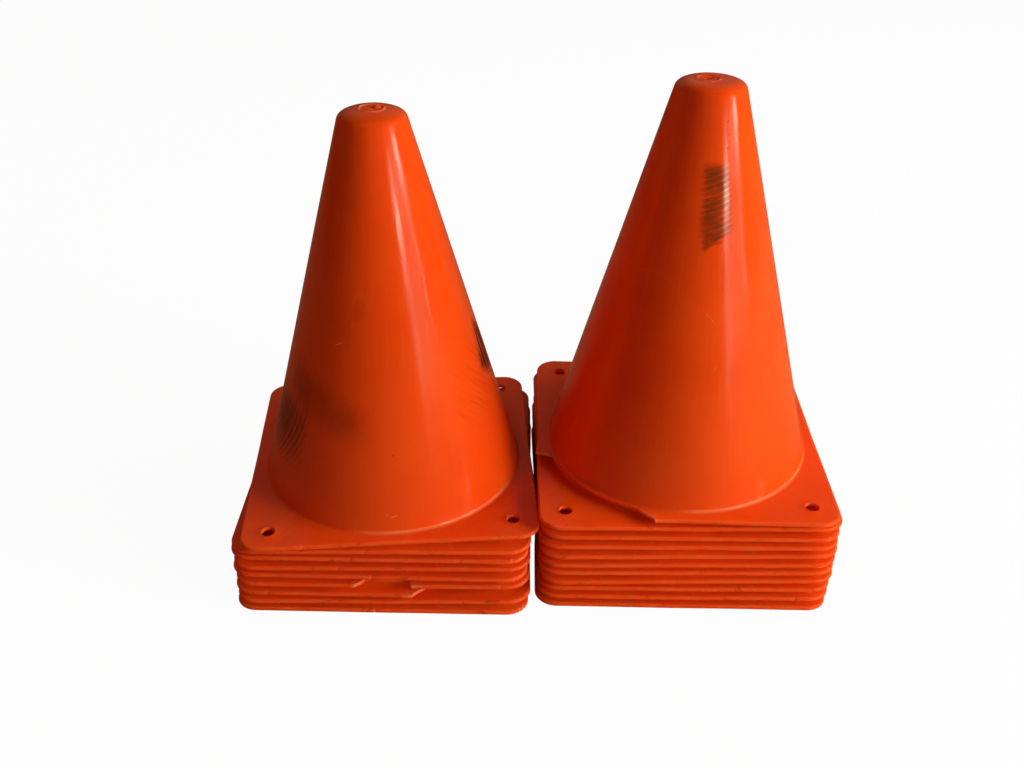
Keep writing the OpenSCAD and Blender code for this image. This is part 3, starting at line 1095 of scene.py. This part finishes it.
class CONES_OT_left_stack(bpy.types.Operator):
    """Builds the left stack's cones whose plates are whole, below the top one"""

    bl_idname = "cones.left_stack"
    bl_label = "Left stack"

    def execute(self, context):
        for node in STACKS["left"][:-1]:
            if node not in BREAK_SHARES:
                add_cone(context, node)
        return {"FINISHED"}


class CONES_OT_right_stack(bpy.types.Operator):
    """Builds the right stack's cones below the top one"""

    bl_idname = "cones.right_stack"
    bl_label = "Right stack"

    def execute(self, context):
        for node in STACKS["right"][:-1]:
            add_cone(context, node)
        return {"FINISHED"}


class CONES_OT_broken_plates(bpy.types.Operator):
    """Builds the left stack's two cones with a broken plate"""

    bl_idname = "cones.broken_plates"
    bl_label = "Broken plates"

    def execute(self, context):
        for node in BREAK_SHARES:
            if node in STACKS["left"]:
                add_cone(context, node)
        return {"FINISHED"}


class CONES_OT_left_top(bpy.types.Operator):
    """Builds the left stack's top cone with its scuffs"""

    bl_idname = "cones.left_top"
    bl_label = "Left top cone"

    def execute(self, context):
        add_cone(context, STACKS["left"][-1], left_top_plastic, TOP_CUT)
        return {"FINISHED"}


class CONES_OT_right_top(bpy.types.Operator):
    """Builds the right stack's top cone with its scuffs and its broken corner"""

    bl_idname = "cones.right_top"
    bl_label = "Right top cone"

    def execute(self, context):
        add_cone(context, STACKS["right"][-1], right_top_plastic, TOP_CUT)
        return {"FINISHED"}


def add_floor(scene, look):
    """A pale floor that the camera sees almost white, and that throws warm light up at the cones."""
    corners = [(x * FLOOR_HALF, y * FLOOR_HALF, 0) for x, y in ((-1, -1), (1, -1), (1, 1), (-1, 1))]
    mesh = bpy.data.meshes.new("floor")
    mesh.from_pydata(corners, [], [(0, 1, 2, 3)])
    floor = bpy.data.objects.new("floor", mesh)
    floor.location.z = -FLOOR_DROP * MM
    scene.collection.objects.link(floor)
    s = Shader(bpy.data.materials.new("pale_floor"))
    seen = s.add("ShaderNodeLightPath", {}).outputs["Is Camera Ray"]
    lit = s.add("ShaderNodeBsdfDiffuse", {"Color": s.mix(seen, FLOOR_BOUNCE, tuple(look.floor_colour))})
    glow = s.add("ShaderNodeEmission", {"Color": (1, 1, 1, 1), "Strength": 1.0})
    share = s.times(seen, FLOOR_WHITE)
    both = s.add("ShaderNodeMixShader", {0: share, 1: lit.outputs[0], 2: glow.outputs[0]})
    s.add("ShaderNodeOutputMaterial", {"Surface": both.outputs[0]})
    mesh.materials.append(s.owner)


def light_room(scene, look):
    """A warm room, brighter behind the cones, that the camera sees as plain white."""
    scene.world = scene.world or bpy.data.worlds.new("room")
    s = Shader(scene.world)
    seen = s.add("ShaderNodeLightPath", {}).outputs["Is Camera Ray"]
    ways = s.add("ShaderNodeTexCoord", {}).outputs["Generated"]
    depth = s.add("ShaderNodeSeparateXYZ", {0: ways}).outputs["Y"]
    strength = s.add("ShaderNodeMapRange", {
        "Value": depth, "From Min": -0.6, "To Min": look.room_light * ROOM_FRONT,
        "To Max": look.room_light * ROOM_BACK}).outputs[0]
    room = s.add("ShaderNodeBackground", {"Color": ROOM_COLOUR, "Strength": strength})
    white = s.add("ShaderNodeBackground", {"Color": (1, 1, 1, 1)})
    both = s.add("ShaderNodeMixShader", {0: seen, 1: room.outputs[0], 2: white.outputs[0]})
    s.add("ShaderNodeOutputWorld", {"Surface": both.outputs[0]})


def add_lamp(scene, look, name, azimuth, elevation, width, height, share):
    """A soft rectangular lamp that faces the cones."""
    light = bpy.data.lights.new(name, "AREA")
    light.shape = "RECTANGLE"
    light.size, light.size_y = width, height
    light.energy = look.key_power * share
    light.color = LAMP_COLOURS[name.split("_")[0]]
    a, e = radians(azimuth), radians(elevation)
    toward = Vector((sin(a) * cos(e), -cos(a) * cos(e), sin(e)))
    holder = bpy.data.objects.new(name, light)
    holder.location = LAMP_AIM + toward * LAMP_AWAY
    holder.rotation_euler = toward.to_track_quat("Z", "Y").to_euler()
    holder.visible_glossy = name.startswith("pane")
    scene.collection.objects.link(holder)


def add_camera(scene, look):
    """The camera at the photograph's viewing angle."""
    camera = bpy.data.cameras.new("camera")
    camera.sensor_width = SENSOR_WIDTH
    camera.lens = look.lens
    camera.clip_start = 0.01
    eye = bpy.data.objects.new("camera", camera)
    aim = Euler((pi / 2 - radians(CAMERA_PITCH), 0, radians(CAMERA_YAW))).to_matrix()
    turn = aim @ Matrix.Rotation(radians(CAMERA_ROLL), 3, "Z")
    eye.matrix_world = Matrix.Translation(CAMERA_AT * MM) @ turn.to_4x4()
    scene.collection.objects.link(eye)
    scene.camera = eye


class CONES_OT_stage(bpy.types.Operator):
    """Adds the floor, the lamps, the room and the camera"""

    bl_idname = "cones.stage"
    bl_label = "Stage"

    def execute(self, context):
        scene, look = context.scene, context.scene.stage_look
        scene.view_settings.view_transform = "Standard"
        add_floor(scene, look)
        light_room(scene, look)
        for lamp in LAMPS:
            add_lamp(scene, look, *lamp)
        add_camera(scene, look)
        return {"FINISHED"}


OPERATORS = (CONES_OT_left_stack, CONES_OT_right_stack, CONES_OT_broken_plates, CONES_OT_left_top,
             CONES_OT_right_top, CONES_OT_stage)
GROUPS = {"cone_sizes": ConeSizes, "plastic_look": PlasticLook, "stage_look": StageLook}


class CONES_PT_panel(bpy.types.Panel):
    """Lists the pieces of the set"""

    bl_label = "Marker cones"
    bl_idname = "CONES_PT_panel"
    bl_space_type = "VIEW_3D"
    bl_region_type = "UI"
    bl_category = "Cones"

    def draw(self, context):
        for operator in OPERATORS:
            self.layout.operator(operator.bl_idname)
        for group, properties in GROUPS.items():
            box = self.layout.box()
            for name in properties.__annotations__:
                box.prop(getattr(context.scene, group), name)


CLASSES = (*GROUPS.values(), *OPERATORS, CONES_PT_panel)


def register():
    for cls in CLASSES:
        bpy.utils.register_class(cls)
    for group, properties in GROUPS.items():
        setattr(bpy.types.Scene, group, PointerProperty(type=properties))


def unregister():
    for group in GROUPS:
        delattr(bpy.types.Scene, group)
    for cls in reversed(CLASSES):
        bpy.utils.unregister_class(cls)


def main():
    register()
    bpy.ops.cones.stage()
    bpy.ops.cones.left_stack()
    bpy.ops.cones.right_stack()
    bpy.ops.cones.broken_plates()
    bpy.ops.cones.left_top()
    bpy.ops.cones.right_top()


if __name__ == "__main__":
    main()
